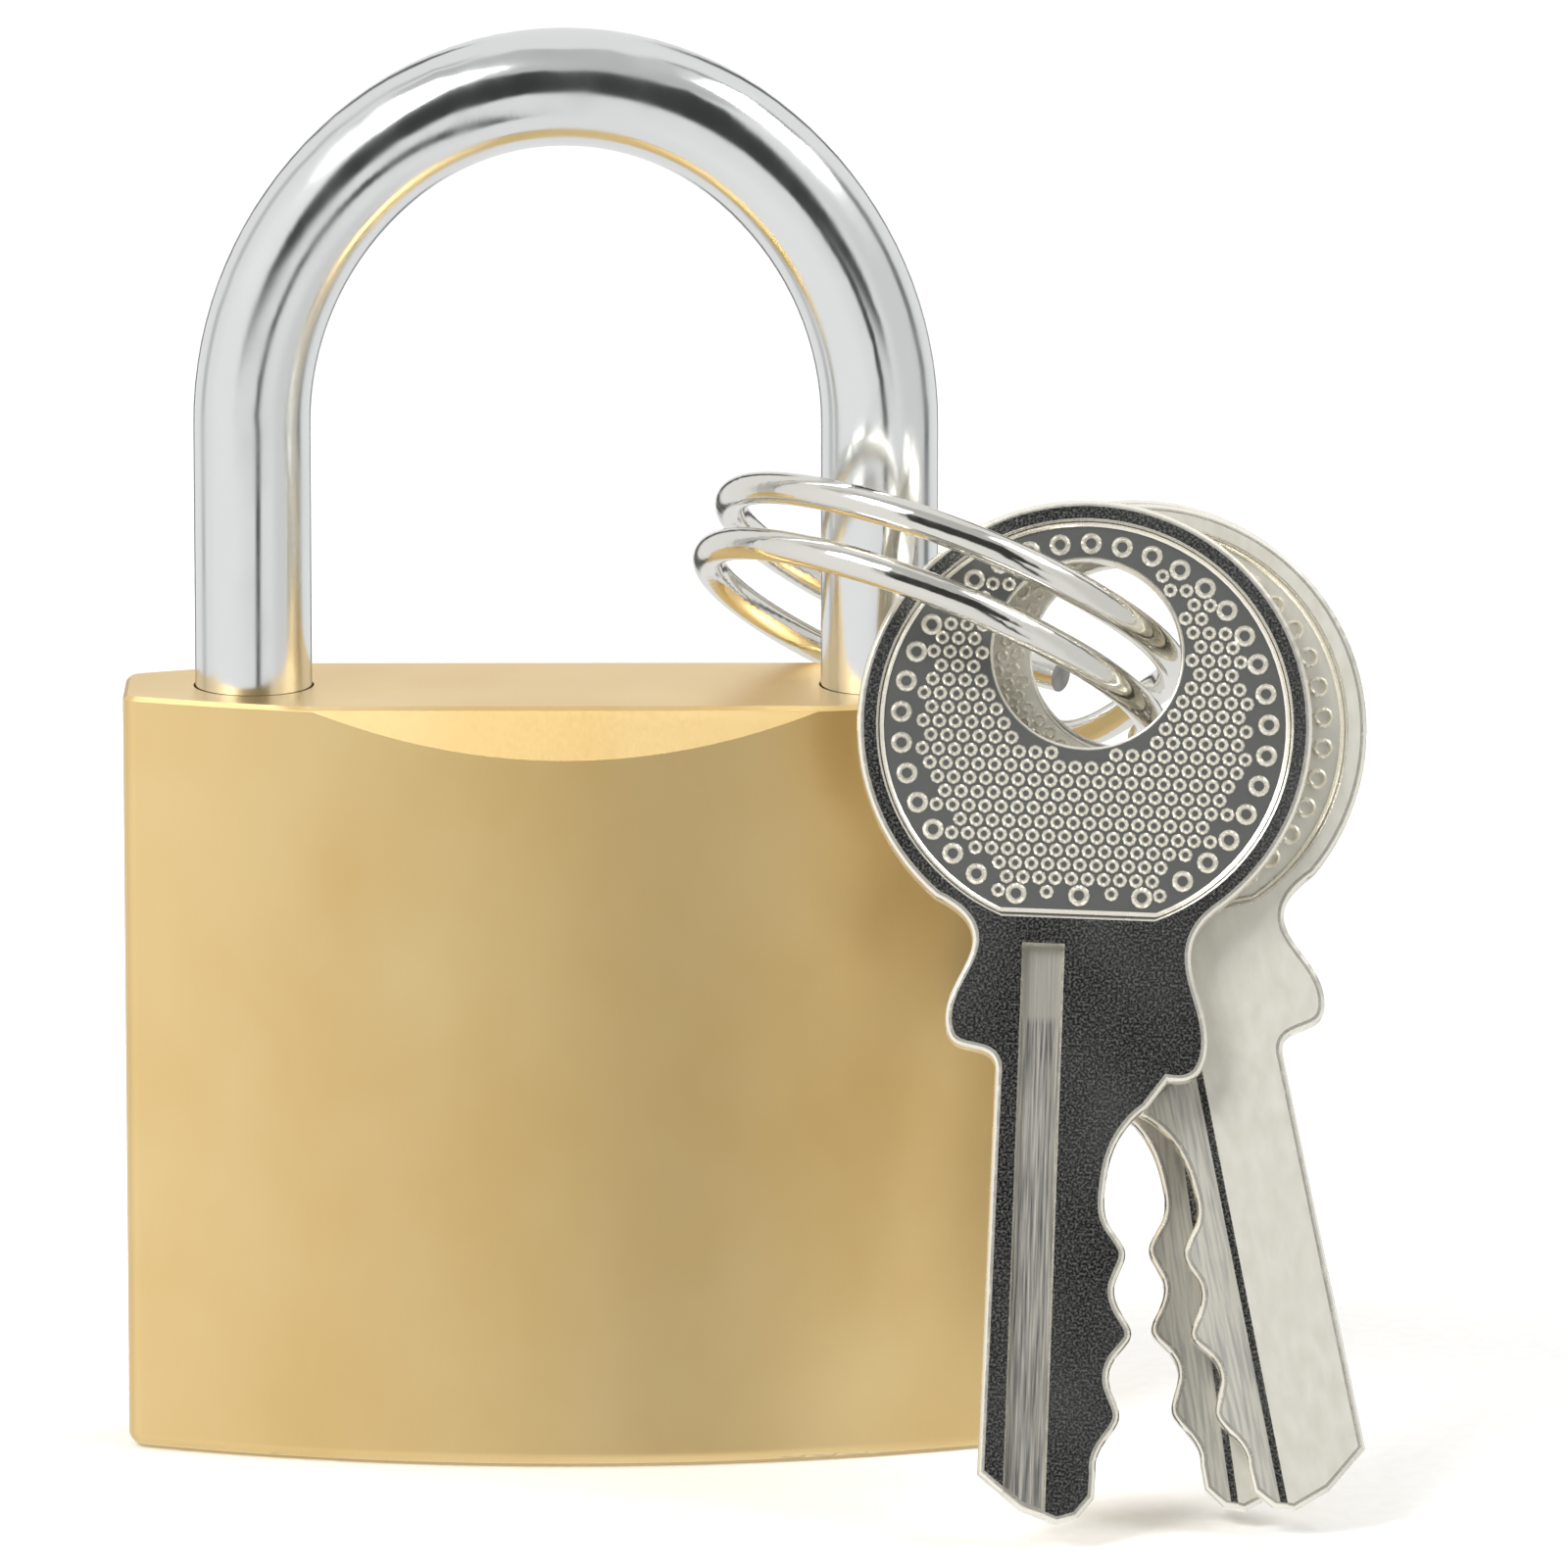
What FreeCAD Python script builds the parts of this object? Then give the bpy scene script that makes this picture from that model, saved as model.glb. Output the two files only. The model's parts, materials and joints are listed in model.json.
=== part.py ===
import FreeCAD, Part
import math
import os

V = FreeCAD.Vector
X_AXIS = V(1, 0, 0)
Y_AXIS = V(0, 1, 0)
Z_AXIS = V(0, 0, 1)
RUNNING = 0.05            # radial clearance of shafts and sliding pieces
PRESSED = 0.02            # radial clearance of pressed-in pieces
END_GAP = 0.05            # gap at the end of a piece in its hole
SUNK = 0.03               # pressed-in pieces end this far below the case's surface
BEYOND = 1.0              # cutting tools run this far past the solid
NEAR = 1e-4               # tolerance for picking edges

# Case: brass block, origin at the centre of its bottom face, front towards -Y
CASE_W = 40.0
CASE_H = 34.8
CASE_T = 13.2             # thickness at the middle of the bulged faces
FACE_R = 53.0             # radius of the bulged front and back faces
CORNER_R = 1.0            # rounding of the four upright edges
BOTTOM_R = 0.6
TOP_EDGE = 0.2            # small chamfer round the top face
TOP_FLAT = 5.25           # half depth of the top face where it is chamfered
TOP_DROP = 2.2            # height of the top chamfers

# Shackle
ROD_R = 2.65
LEG_X = 14.15
LEG_STRAIGHT = 12.0       # straight leg above the case
ARCH_RISE = 15.35         # centreline of the arch above the straight legs
ARCH_TOP_C = 2.35         # centre of the top arc above the straight legs
TOE_Z = 25.2              # lower end of the locked leg
HEEL_Z = 12.0             # lower end of the leg that stays in the case
LIFT = 10.2
LEG_FIT = 0.08
ROD_CHAMFER = 0.5
HEEL_FLAT_X = 1.35        # flat on the long leg, from the leg's axis
HEEL_GROOVE_H = 1.95
HEEL_PLAY = (0.15, 0.1)   # play of the retaining pin below and above, over the lift
HEEL_BORE_Z = 3.9
TOE_BORE_Z = 24.9
SHACKLE_SPRING_R = 2.0
SHACKLE_SPRING_WIRE = 0.3
SHACKLE_SPRING_PITCH = 1.1

# Bolt and its driver
BOLT_Z = 29.6
BOLT_R = 1.9
BOLT_TIP_X = -12.3
BOLT_END_X = 0.6
BOLT_NOSE = 0.7
BOLT_TRAVEL = 4.5
NOTCH_X = -12.65
NOTCH_BELOW = 1.25        # play of the locked shackle
NOTCH_ABOVE = 0.3
DRIVER_X = -0.5 * BOLT_TRAVEL
DRIVER_HALF = 1.75
DRIVER_Y = (-2.2, 2.9)
DRIVER_Z = (21.4, 27.5)
DRIVER_ROOF = 0.6         # thickness over the driver's slot
DRIVER_STUB_R = 1.2
DRIVER_STUB_Z = 30.0
CAVITY_Z = 28.3
CHANNEL_PLUG_GAP = 0.2    # between the long leg's bore and the bolt channel's plug

# Plug and key pins
PLUG_R = 5.0
PLUG_Z = (0.15, 20.5)
DRIVE_PIN_R = 0.8
DRIVE_PIN_E = BOLT_TRAVEL / math.sqrt(2.0)   # eccentricity, a quarter turn gives the travel
DRIVE_PIN_Z = (17.0, 26.6)
DRIVE_SLOT = 0.15
PIN_R = 1.35
PIN_POINT = 0.6           # height of the cone on a key pin
PIN_REST = 0.1            # gap between a key pin and the key it would rest on
PIN_Z = (5.6, 9.8, 14.0, 18.2)
PIN_BITE = (1.8, 2.65, 2.6, 1.65)            # bitting depth under each pin
CHAMBER_END_X = -1.2      # inner end of the pin chambers
DRIVER_LENGTH = 4.0
CHAMBER_PLUG = 2.4
PIN_SPRING_R = 0.95
PIN_SPRING_WIRE = 0.16
PIN_SPRING_TURNS = 8
RETAINER_R = 0.8
RETAINER_END_Y = -1.5     # inner end of the retaining pins' holes
PLUG_RETAINER = (5.0, 2.6)                   # x and z of the pin that holds the plug
PLUG_GROOVE = (1.7, 3.5)
HEEL_RETAINER = (16.4, 24.2)                 # x and z of the pin that holds the shackle

# Keyway and keys
KEY_T = 1.8
KEYWAY_X = (-3.45, 3.75)
KEYWAY_HALF = 1.0
KEYWAY_MOUTH = (0.9, 1.25)                   # width and depth of the relief for the key's shoulder
KEY_GROOVE_U = (-2.45, -0.55)
KEY_GROOVE_DEPTH = 0.6
KEY_GROOVE_V = 9.8
KEY_REBATE_U = 0.25
KEY_REBATE_DEPTH = 0.35
KEY_REBATE_V = 15.6
WARD_PLAY = 0.15
BOW_R = 10.15
BOW_RIM = 0.9
BOW_RECESS = 0.25
FIELD_V = 8.6             # lower border of the sunk field
HOLE_R = 4.2
HOLE_V = -3.25
TIP_V = 35.6
KEY_LEAN = 18.0
KEY_PLACES = {            # centre of the bow, tilt, turned back to front
    "key_front": ((23.2, -10.29, 34.85), -2.2, False),
    "key_middle": ((25.7, -8.26, 34.3), 10.95, True),
    "key_back": ((25.54, -6.18, 34.1), 7.7, True),
}

# Split ring round the long leg
RING_C = (16.9, -2.1, 38.35)
RING_TILT = (-22.2, 23.2)
RING_R = 10.7
RING_WIRE = 0.725
RING_GAP = 2.75           # distance between the two coils' centrelines
RING_START = 50.0
RING_STEP = (365.0, 405.0)
RING_END = 725.0
RING_POINTS = 76


def cylinder(r, z0, z1, x=0.0, y=0.0):
    """Upright cylinder from z0 to z1."""
    return Part.makeCylinder(r, z1 - z0, V(x, y, z0), Z_AXIS)


def cylinder_x(r, x0, x1, z, y=0.0):
    """Cylinder along X from x0 to x1."""
    return Part.makeCylinder(r, x1 - x0, V(x0, y, z), X_AXIS)


def cylinder_y(r, y0, y1, x, z):
    """Cylinder along Y from y0 to y1."""
    return Part.makeCylinder(r, y1 - y0, V(x, y0, z), Y_AXIS)


def box(x, y, z):
    """Box from pairs of low and high limits."""
    return Part.makeBox(x[1] - x[0], y[1] - y[0], z[1] - z[0], V(x[0], y[0], z[0]))


def edges_at(shape, z):
    """Edges that lie in the level plane at z."""
    return [e for e in shape.Edges
            if abs(e.BoundBox.ZMin - z) < NEAR and abs(e.BoundBox.ZMax - z) < NEAR]


def upright_edges(shape):
    """Edges parallel to Z."""
    return [e for e in shape.Edges if e.BoundBox.XLength < NEAR and e.BoundBox.YLength < NEAR]


def face_y(x):
    """Half thickness of the bulged case at x."""
    return CASE_T / 2 - FACE_R + math.sqrt(FACE_R ** 2 - x ** 2)


def case_block():
    """Solid block with bulged faces, rounded edges and chamfered top."""
    half = CASE_W / 2
    end = face_y(half)
    corners = [V(-half, -end, 0), V(half, -end, 0), V(half, end, 0), V(-half, end, 0)]
    front = Part.Arc(corners[0], V(0, -CASE_T / 2, 0), corners[1]).toShape()
    right = Part.makeLine(corners[1], corners[2])
    back = Part.Arc(corners[2], V(0, CASE_T / 2, 0), corners[3]).toShape()
    left = Part.makeLine(corners[3], corners[0])
    block = Part.Face(Part.Wire([front, right, back, left])).extrude(V(0, 0, CASE_H))
    block = block.makeFillet(CORNER_R, upright_edges(block))
    block = block.makeFillet(BOTTOM_R, edges_at(block, 0))
    low = CASE_H - TOP_DROP
    for side in (-1, 1):
        wedge = Part.makePolygon([V(-half, side * TOP_FLAT, CASE_H),
                                  V(-half, side * CASE_T, CASE_H),
                                  V(-half, side * CASE_T, low),
                                  V(-half, side * CASE_T / 2, low),
                                  V(-half, side * TOP_FLAT, CASE_H)])
        block = block.cut(Part.Face(wedge).extrude(V(CASE_W, 0, 0)))
    return block.makeChamfer(TOP_EDGE, edges_at(block, CASE_H))


def case_bores():
    """Bores for the legs, plug, bolt, pin stacks and retaining pins."""
    bores = [cylinder(ROD_R + LEG_FIT, TOE_BORE_Z, CASE_H + BEYOND, -LEG_X),
             cylinder(ROD_R + LEG_FIT, HEEL_BORE_Z, CASE_H + BEYOND, LEG_X),
             cylinder(PLUG_R + RUNNING, -BEYOND, CAVITY_Z),
             cylinder_x(BOLT_R + RUNNING, -LEG_X, CASE_W / 2 + BEYOND, BOLT_Z)]
    for z in PIN_Z:
        bores.append(cylinder_x(PIN_R + RUNNING, -CASE_W / 2 - BEYOND, 0, z))
    for x, z in (PLUG_RETAINER, HEEL_RETAINER):
        bores.append(cylinder_y(RETAINER_R + PRESSED, RETAINER_END_Y, CASE_T, x, z))
    return bores


def make_case():
    """Case with all its bores."""
    shape = case_block()
    for bore in case_bores():
        shape = shape.cut(bore)
    return shape


def rod_arc(centre, start, angle):
    """Rod bent round an axis along Y through centre, from the circle at start."""
    circle = Part.Circle(start, (start - centre).cross(Y_AXIS), ROD_R)
    return Part.Face(Part.Wire(circle.toShape())).revolve(centre, Y_AXIS, angle)


def shackle_arch():
    """Arch of a top arc and two wider side arcs, tangent where they meet."""
    z = CASE_H + LEG_STRAIGHT
    rise = ARCH_RISE - LEG_X
    inset = (2 * rise * ARCH_TOP_C - rise ** 2) / (2 * (ARCH_TOP_C - rise))
    side_r = LEG_X + inset
    turn = math.degrees(math.atan2(ARCH_TOP_C, inset))
    parts = []
    for side in (-1, 1):
        centre = V(-side * inset, 0, z)
        parts.append(rod_arc(centre, V(side * LEG_X, 0, z), -side * turn))
        joint = V(side * (side_r * math.cos(math.radians(turn)) - inset), 0,
                  z + side_r * math.sin(math.radians(turn)))
        parts.append(rod_arc(V(0, 0, z + ARCH_TOP_C), joint, -side * (90 - turn)))
    return parts


def make_shackle():
    """Bent rod: notched short leg at -X, long leg with its flat and groove at +X."""
    z = CASE_H + LEG_STRAIGHT
    across = (-ROD_R - BEYOND, ROD_R + BEYOND)
    toe = cylinder(ROD_R, TOE_Z, z, -LEG_X)
    toe = toe.makeChamfer(ROD_CHAMFER, edges_at(toe, TOE_Z))
    notch_z = (BOLT_Z - BOLT_R - NOTCH_BELOW, BOLT_Z + BOLT_R + NOTCH_ABOVE)
    toe = toe.cut(box((NOTCH_X, 0), across, notch_z))
    heel = cylinder(ROD_R, HEEL_Z, z, LEG_X)
    heel = heel.makeChamfer(ROD_CHAMFER, edges_at(heel, HEEL_Z))
    pin_z = HEEL_RETAINER[1]
    flat_z = (pin_z - RETAINER_R - LIFT - HEEL_PLAY[0], pin_z + RETAINER_R + HEEL_PLAY[1])
    heel = heel.cut(box((LEG_X + HEEL_FLAT_X, LEG_X + 2 * ROD_R), across, flat_z))
    groove_z = (flat_z[0], flat_z[0] + HEEL_GROOVE_H)
    groove = cylinder(ROD_R + BEYOND, *groove_z, LEG_X)
    heel = heel.cut(groove.cut(cylinder(HEEL_FLAT_X, *groove_z, LEG_X)))
    return toe.multiFuse([heel] + shackle_arch()).removeSplitter()


def coil(radius, wire, pitch, turns):
    """Helical spring along +Z whose lowest point is at about z = 0."""
    helix = Part.makeHelix(pitch, pitch * turns, radius)
    profile = Part.Wire(Part.Circle(V(radius, 0, 0), Y_AXIS, wire).toShape())
    spring = Part.Wire(helix).makePipeShell([profile], True, True)
    spring.translate(V(0, 0, wire))
    return spring


def make_shackle_spring():
    """Spring under the long leg."""
    room = HEEL_Z - HEEL_BORE_Z - 2 * END_GAP - 2 * SHACKLE_SPRING_WIRE
    shape = coil(SHACKLE_SPRING_R, SHACKLE_SPRING_WIRE, SHACKLE_SPRING_PITCH, room / SHACKLE_SPRING_PITCH)
    shape.translate(V(LEG_X, 0, HEEL_BORE_Z + END_GAP))
    return shape


def retainer(place):
    """Pin driven in from the back, its outer end following the bulged face."""
    x, z = place
    pin = cylinder_y(RETAINER_R, RETAINER_END_Y + END_GAP, CASE_T, x, z)
    return pin.common(case_block().translated(V(0, -SUNK, 0)))


def make_bolt():
    """Round bolt with a hole for its driver's stub."""
    rod = cylinder_x(BOLT_R, BOLT_TIP_X, BOLT_END_X, BOLT_Z)
    nose = [e for e in rod.Edges if e.BoundBox.XMax < BOLT_TIP_X + NEAR]
    rod = rod.makeChamfer(BOLT_NOSE, nose)
    hole = cylinder(DRIVER_STUB_R + PRESSED, BOLT_Z - BOLT_R - BEYOND, DRIVER_STUB_Z + END_GAP, DRIVER_X)
    return rod.cut(hole)


def make_bolt_driver():
    """Block whose slot the plug's eccentric pin works in."""
    z0, z1 = DRIVER_Z
    block = box((DRIVER_X - DRIVER_HALF, DRIVER_X + DRIVER_HALF), DRIVER_Y, (z0, z1))
    block = block.fuse(cylinder(DRIVER_STUB_R, z1 - DRIVER_ROOF, DRIVER_STUB_Z, DRIVER_X))
    half = DRIVE_PIN_R + DRIVE_SLOT
    near = -DRIVER_X - half
    slot = box((DRIVER_X - half, DRIVER_X + half), (near, DRIVER_Y[1] + BEYOND), (z0 - BEYOND, z1 - DRIVER_ROOF))
    return block.cut(slot).removeSplitter()


def make_bolt_channel_plug():
    """Plug that closes the bolt's bore at the side of the case."""
    inner = LEG_X + ROD_R + LEG_FIT + CHANNEL_PLUG_GAP
    return cylinder_x(BOLT_R + RUNNING - PRESSED, inner, CASE_W / 2 - SUNK, BOLT_Z)


def keyway_mouth():
    """Relief at the mouth for the sloping shoulder of a key pushed home."""
    x0 = KEYWAY_X[0]
    wide, deep = KEYWAY_MOUTH
    z = PLUG_Z[0]
    outline = Part.makePolygon([V(x0, -KEYWAY_HALF, z), V(x0 - wide, -KEYWAY_HALF, z),
                                V(x0, -KEYWAY_HALF, z + deep), V(x0, -KEYWAY_HALF, z)])
    return Part.Face(outline).extrude(V(0, 2 * KEYWAY_HALF, 0))


def keyway():
    """Slot through the plug with a ward for the key's groove and one for its rebate."""
    z = (-BEYOND, PLUG_Z[1] + BEYOND)
    slot = box(KEYWAY_X, (-KEYWAY_HALF, KEYWAY_HALF), z)
    ward_x = (-KEY_GROOVE_U[1] + WARD_PLAY, -KEY_GROOVE_U[0] - WARD_PLAY)
    ward = box(ward_x, (-KEYWAY_HALF, -KEYWAY_HALF + KEY_GROOVE_DEPTH - WARD_PLAY), z)
    side_x = (KEYWAY_X[0], -KEY_REBATE_U - WARD_PLAY)
    side = box(side_x, (KEYWAY_HALF - KEY_REBATE_DEPTH + WARD_PLAY, KEYWAY_HALF), z)
    return slot.cut(ward).cut(side).fuse(keyway_mouth())


def drive_pin_place():
    """Centre of the eccentric pin, a quarter turn before the bolt is drawn."""
    return -DRIVE_PIN_E / math.sqrt(2.0), DRIVE_PIN_E / math.sqrt(2.0)


def make_plug():
    """Plug with its retaining groove, keyway, pin chambers and drive pin's hole."""
    shape = cylinder(PLUG_R, *PLUG_Z)
    groove_r = PLUG_RETAINER[0] - RETAINER_R - RUNNING
    shape = shape.cut(cylinder(PLUG_R + BEYOND, *PLUG_GROOVE).cut(cylinder(groove_r, *PLUG_GROOVE)))
    shape = shape.cut(keyway())
    x, y = drive_pin_place()
    shape = shape.cut(cylinder(DRIVE_PIN_R + PRESSED, DRIVE_PIN_Z[0] - PRESSED, PLUG_Z[1] + BEYOND, x, y))
    for z in PIN_Z:
        shape = shape.cut(cylinder_x(PIN_R + RUNNING, -PLUG_R - BEYOND, CHAMBER_END_X, z))
    return shape


def make_drive_pin():
    """Eccentric pin on top of the plug."""
    x, y = drive_pin_place()
    return cylinder(DRIVE_PIN_R, *DRIVE_PIN_Z, x, y)


def make_key_pin(z, bite):
    """Pin with a coned end, between the key's bitting and the plug's edge."""
    outer = -math.sqrt(PLUG_R ** 2 - PIN_R ** 2)
    tip = -bite - PIN_REST
    rod = cylinder_x(PIN_R, outer, tip - PIN_POINT, z)
    point = Part.makeCone(PIN_R, PIN_R - PIN_POINT, PIN_POINT, V(tip - PIN_POINT, 0, z), X_AXIS)
    return rod.fuse(point).removeSplitter()


def pin_stack(z):
    """Driver pin, its spring and the chamber plug, outwards from the plug."""
    inner = -PLUG_R - RUNNING - END_GAP
    driver = cylinder_x(PIN_R, inner - DRIVER_LENGTH, inner, z)
    plug_x = -CASE_W / 2 + SUNK
    cap = cylinder_x(PIN_R + RUNNING - PRESSED, plug_x, plug_x + CHAMBER_PLUG, z)
    x0 = plug_x + CHAMBER_PLUG + END_GAP
    room = inner - DRIVER_LENGTH - END_GAP - x0 - 2 * PIN_SPRING_WIRE
    spring = coil(PIN_SPRING_R, PIN_SPRING_WIRE, room / PIN_SPRING_TURNS, PIN_SPRING_TURNS)
    spring.rotate(V(0, 0, 0), Y_AXIS, 90)
    spring.translate(V(x0, 0, z))
    return driver, spring, cap


def spline(points):
    """Smooth curve through points of the key's outline."""
    curve = Part.BSplineCurve()
    curve.interpolate([V(u, v, 0) for u, v in points])
    return curve.toShape()


def line(points):
    """Straight edges through points of the key's outline."""
    return Part.makePolygon([V(u, v, 0) for u, v in points]).Edges


def on_bow(v, side):
    """Point of the round bow at v, on the left (-1) or right (1)."""
    return side * math.sqrt(BOW_R ** 2 - v ** 2), v


def key_outline():
    """Key seen from its grooved side: u across, v down from the centre of the bow."""
    left = on_bow(7.9, -1)
    right = on_bow(8.1, 1)
    bow = Part.Arc(V(left[0], left[1], 0), V(0, -BOW_R, 0), V(right[0], right[1], 0)).toShape()
    neck_l = spline([left, (-4.75, 10.3), (-5.75, 13.0), (-5.35, 14.35), (-3.75, 14.85), (-3.45, 15.7)])
    neck_r = spline([right, (5.12, 10.6), (5.95, 13.9), (5.6, 15.35), (4.25, 15.75)])
    slope = line([(4.25, 15.75), (3.35, 17.0)])
    teeth = spline([(3.35, 17.0), (1.95, 18.9), (1.62, 20.7), (1.78, 22.1), (2.62, 23.5),
                    (2.18, 25.0), (2.5, 26.1), (3.0, 27.1), (2.3, 28.2), (2.1, 29.3),
                    (2.6, 30.8), (2.0, 31.9), (1.65, 33.3)])
    tip = line([(1.65, 33.3), (1.6, 34.4), (0.9, 35.3), (0.0, TIP_V), (-1.7, 35.0), (-3.6, 33.5),
                (-3.45, 15.7)])
    return Part.Wire([bow, neck_r] + slope + [teeth] + tip + [neck_l])


def key_blank():
    """Key in its own frame: u is X, v is -Z, the grooved side faces -Y."""
    plate = Part.Face(key_outline()).extrude(V(0, 0, KEY_T))
    plate.translate(V(0, 0, -KEY_T / 2))
    half = KEY_T / 2
    reach = TIP_V + BEYOND
    plate = plate.cut(Part.makeCylinder(HOLE_R, 2 * KEY_T, V(0, HOLE_V, -KEY_T), Z_AXIS))
    field = Part.makeCylinder(BOW_R - BOW_RIM, BOW_RECESS + BEYOND, V(0, 0, half - BOW_RECESS), Z_AXIS)
    field = field.common(box((-BOW_R, BOW_R), (-BOW_R, FIELD_V), (0, half + 2 * BEYOND)))
    plate = plate.cut(field).cut(field.mirror(V(0, 0, 0), Z_AXIS))
    groove_w = (-half - BEYOND, -half + KEY_GROOVE_DEPTH)
    plate = plate.cut(box(KEY_GROOVE_U, (KEY_GROOVE_V, reach), groove_w))
    rebate_w = (half - KEY_REBATE_DEPTH, half + BEYOND)
    plate = plate.cut(box((KEY_REBATE_U, BOW_R), (KEY_REBATE_V, reach), rebate_w))
    plate.rotate(V(0, 0, 0), X_AXIS, -90)
    return plate


def place_key(place):
    """Key hung on the ring."""
    centre, tilt, flipped = place
    shape = key_blank()
    if flipped:
        shape.rotate(V(0, 0, 0), Z_AXIS, 180)
    shape.rotate(V(0, 0, 0), Y_AXIS, -tilt)
    shape.rotate(V(0, 0, 0), X_AXIS, -KEY_LEAN)
    shape.translate(V(*centre))
    return shape


def ring_frame():
    """Place of the split ring, leaning on the long leg."""
    tilt = FreeCAD.Rotation(Y_AXIS, RING_TILT[1]).multiply(FreeCAD.Rotation(X_AXIS, RING_TILT[0]))
    return FreeCAD.Placement(V(*RING_C), tilt)


def ring_level(angle):
    """Height over the ring's mid-plane: upper coil, smooth step, lower coil."""
    a, b = RING_STEP
    t = min(1.0, max(0.0, (angle - a) / (b - a)))
    return RING_GAP * (0.5 - t * t * (3 - 2 * t))


def make_split_ring():
    """Round wire wound nearly twice."""
    points = []
    for i in range(RING_POINTS):
        angle = RING_START + (RING_END - RING_START) * i / (RING_POINTS - 1)
        a = math.radians(angle)
        points.append(V(RING_R * math.cos(a), RING_R * math.sin(a), ring_level(angle)))
    path = Part.BSplineCurve()
    path.interpolate(points)
    start = path.tangent(path.FirstParameter)[0]
    profile = Part.Wire(Part.Circle(points[0], start, RING_WIRE).toShape())
    shape = Part.Wire(path.toShape()).makePipeShell([profile], True, True)
    shape.Placement = ring_frame().multiply(shape.Placement)
    return shape


def build():
    """All the pieces by node name."""
    nodes = {
        "case": make_case(),
        "shackle": make_shackle(),
        "shackle_spring": make_shackle_spring(),
        "shackle_retaining_pin": retainer(HEEL_RETAINER),
        "plug": make_plug(),
        "plug_retaining_pin": retainer(PLUG_RETAINER),
        "drive_pin": make_drive_pin(),
        "bolt": make_bolt(),
        "bolt_driver": make_bolt_driver(),
        "bolt_channel_plug": make_bolt_channel_plug(),
        "split_ring": make_split_ring(),
    }
    for i, z in enumerate(PIN_Z):
        driver, spring, cap = pin_stack(z)
        nodes["key_pin_%d" % (i + 1)] = make_key_pin(z, PIN_BITE[i])
        nodes["driver_pin_%d" % (i + 1)] = driver
        nodes["pin_spring_%d" % (i + 1)] = spring
        nodes["chamber_plug_%d" % (i + 1)] = cap
    for name, place in KEY_PLACES.items():
        nodes[name] = place_key(place)
    return nodes


os.makedirs("parts", exist_ok=True)
for name, shape in build().items():
    shape.exportStep("parts/%s.step" % name)
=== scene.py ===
"""Finishes and fine detail for a brass padlock with flat keys on a split ring."""
import json
import math

import bmesh
import bpy
from bpy.props import FloatProperty, FloatVectorProperty, PointerProperty
from mathutils import Matrix, Vector

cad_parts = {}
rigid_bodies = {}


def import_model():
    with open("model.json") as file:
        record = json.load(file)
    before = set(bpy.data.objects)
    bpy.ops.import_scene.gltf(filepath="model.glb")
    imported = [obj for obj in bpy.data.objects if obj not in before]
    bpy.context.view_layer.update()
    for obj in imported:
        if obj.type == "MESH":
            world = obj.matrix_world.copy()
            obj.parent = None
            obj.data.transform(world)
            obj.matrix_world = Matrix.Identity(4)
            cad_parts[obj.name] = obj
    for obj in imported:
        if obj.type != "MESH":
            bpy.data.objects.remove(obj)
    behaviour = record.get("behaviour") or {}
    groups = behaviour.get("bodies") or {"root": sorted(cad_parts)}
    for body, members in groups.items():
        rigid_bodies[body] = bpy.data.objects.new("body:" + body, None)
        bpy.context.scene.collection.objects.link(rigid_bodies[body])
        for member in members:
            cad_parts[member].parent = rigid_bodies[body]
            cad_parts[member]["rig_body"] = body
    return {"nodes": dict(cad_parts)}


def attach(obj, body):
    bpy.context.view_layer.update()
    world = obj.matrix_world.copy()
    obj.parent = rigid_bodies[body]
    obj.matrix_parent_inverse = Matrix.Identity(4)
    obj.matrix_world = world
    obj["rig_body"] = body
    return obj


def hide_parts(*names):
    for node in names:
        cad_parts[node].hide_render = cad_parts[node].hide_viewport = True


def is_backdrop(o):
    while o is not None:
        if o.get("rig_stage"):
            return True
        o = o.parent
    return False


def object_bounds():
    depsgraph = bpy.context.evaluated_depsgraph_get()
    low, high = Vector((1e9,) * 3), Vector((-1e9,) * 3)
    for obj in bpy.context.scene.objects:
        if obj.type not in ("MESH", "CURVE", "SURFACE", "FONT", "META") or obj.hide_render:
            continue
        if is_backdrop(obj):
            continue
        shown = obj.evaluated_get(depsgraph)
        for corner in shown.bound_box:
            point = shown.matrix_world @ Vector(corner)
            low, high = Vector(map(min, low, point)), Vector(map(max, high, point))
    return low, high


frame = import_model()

bl_info = {
    "name": "Brass padlock with keys",
    "version": (1, 0, 0),
    "blender": (4, 5, 0),
    "location": "3D View > Sidebar > Padlock",
    "description": "Brass case, plated shackle, and stamped keys on a split ring",
    "category": "Object",
}

MM = 0.001
MERGE = 1e-6              # corners nearer than this are one corner
SMOOTH_BELOW = 28.0       # degrees between faces that still shade as one curve
PIN_STACKS = range(1, 5)  # numbers of the pin stacks

# Keys: u is across, z is up from the centre of the bow, -Y is the grooved side
KEY_HALF = 0.9 * MM       # half the plate's thickness
FIELD_DEPTH = 0.25 * MM
FIELD_R = 9.25 * MM
FIELD_LOW = -8.6 * MM     # lower border of the sunk field
GROOVE_FLOOR = 0.3 * MM   # on the grooved side of the middle
REBATE_FLOOR = 0.55 * MM  # on the other side of it
REBATE_U = 0.25 * MM      # where the rebate begins
RUN_OUT = (-13.4, -13.0)  # upper end of the groove, in mm, where the cutter left the metal
HOLE_UP = 3.25 * MM
HOLE_R = 4.2 * MM
KEY_LEAN = 18.0           # degrees that the keys lean back
KEY_PLACES = {            # centre of the bow in mm, tilt in degrees, turned back to front
    "key_front": ((23.2, -10.29, 34.85), -2.2, False),
    "key_middle": ((25.7, -8.26, 34.3), 10.95, True),
    "key_back": ((25.54, -6.18, 34.1), 7.7, True),
}
SPECKLED, PALE, RIM, GROOVE, FIELD, REBATE = range(6)     # a key's material slots

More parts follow.
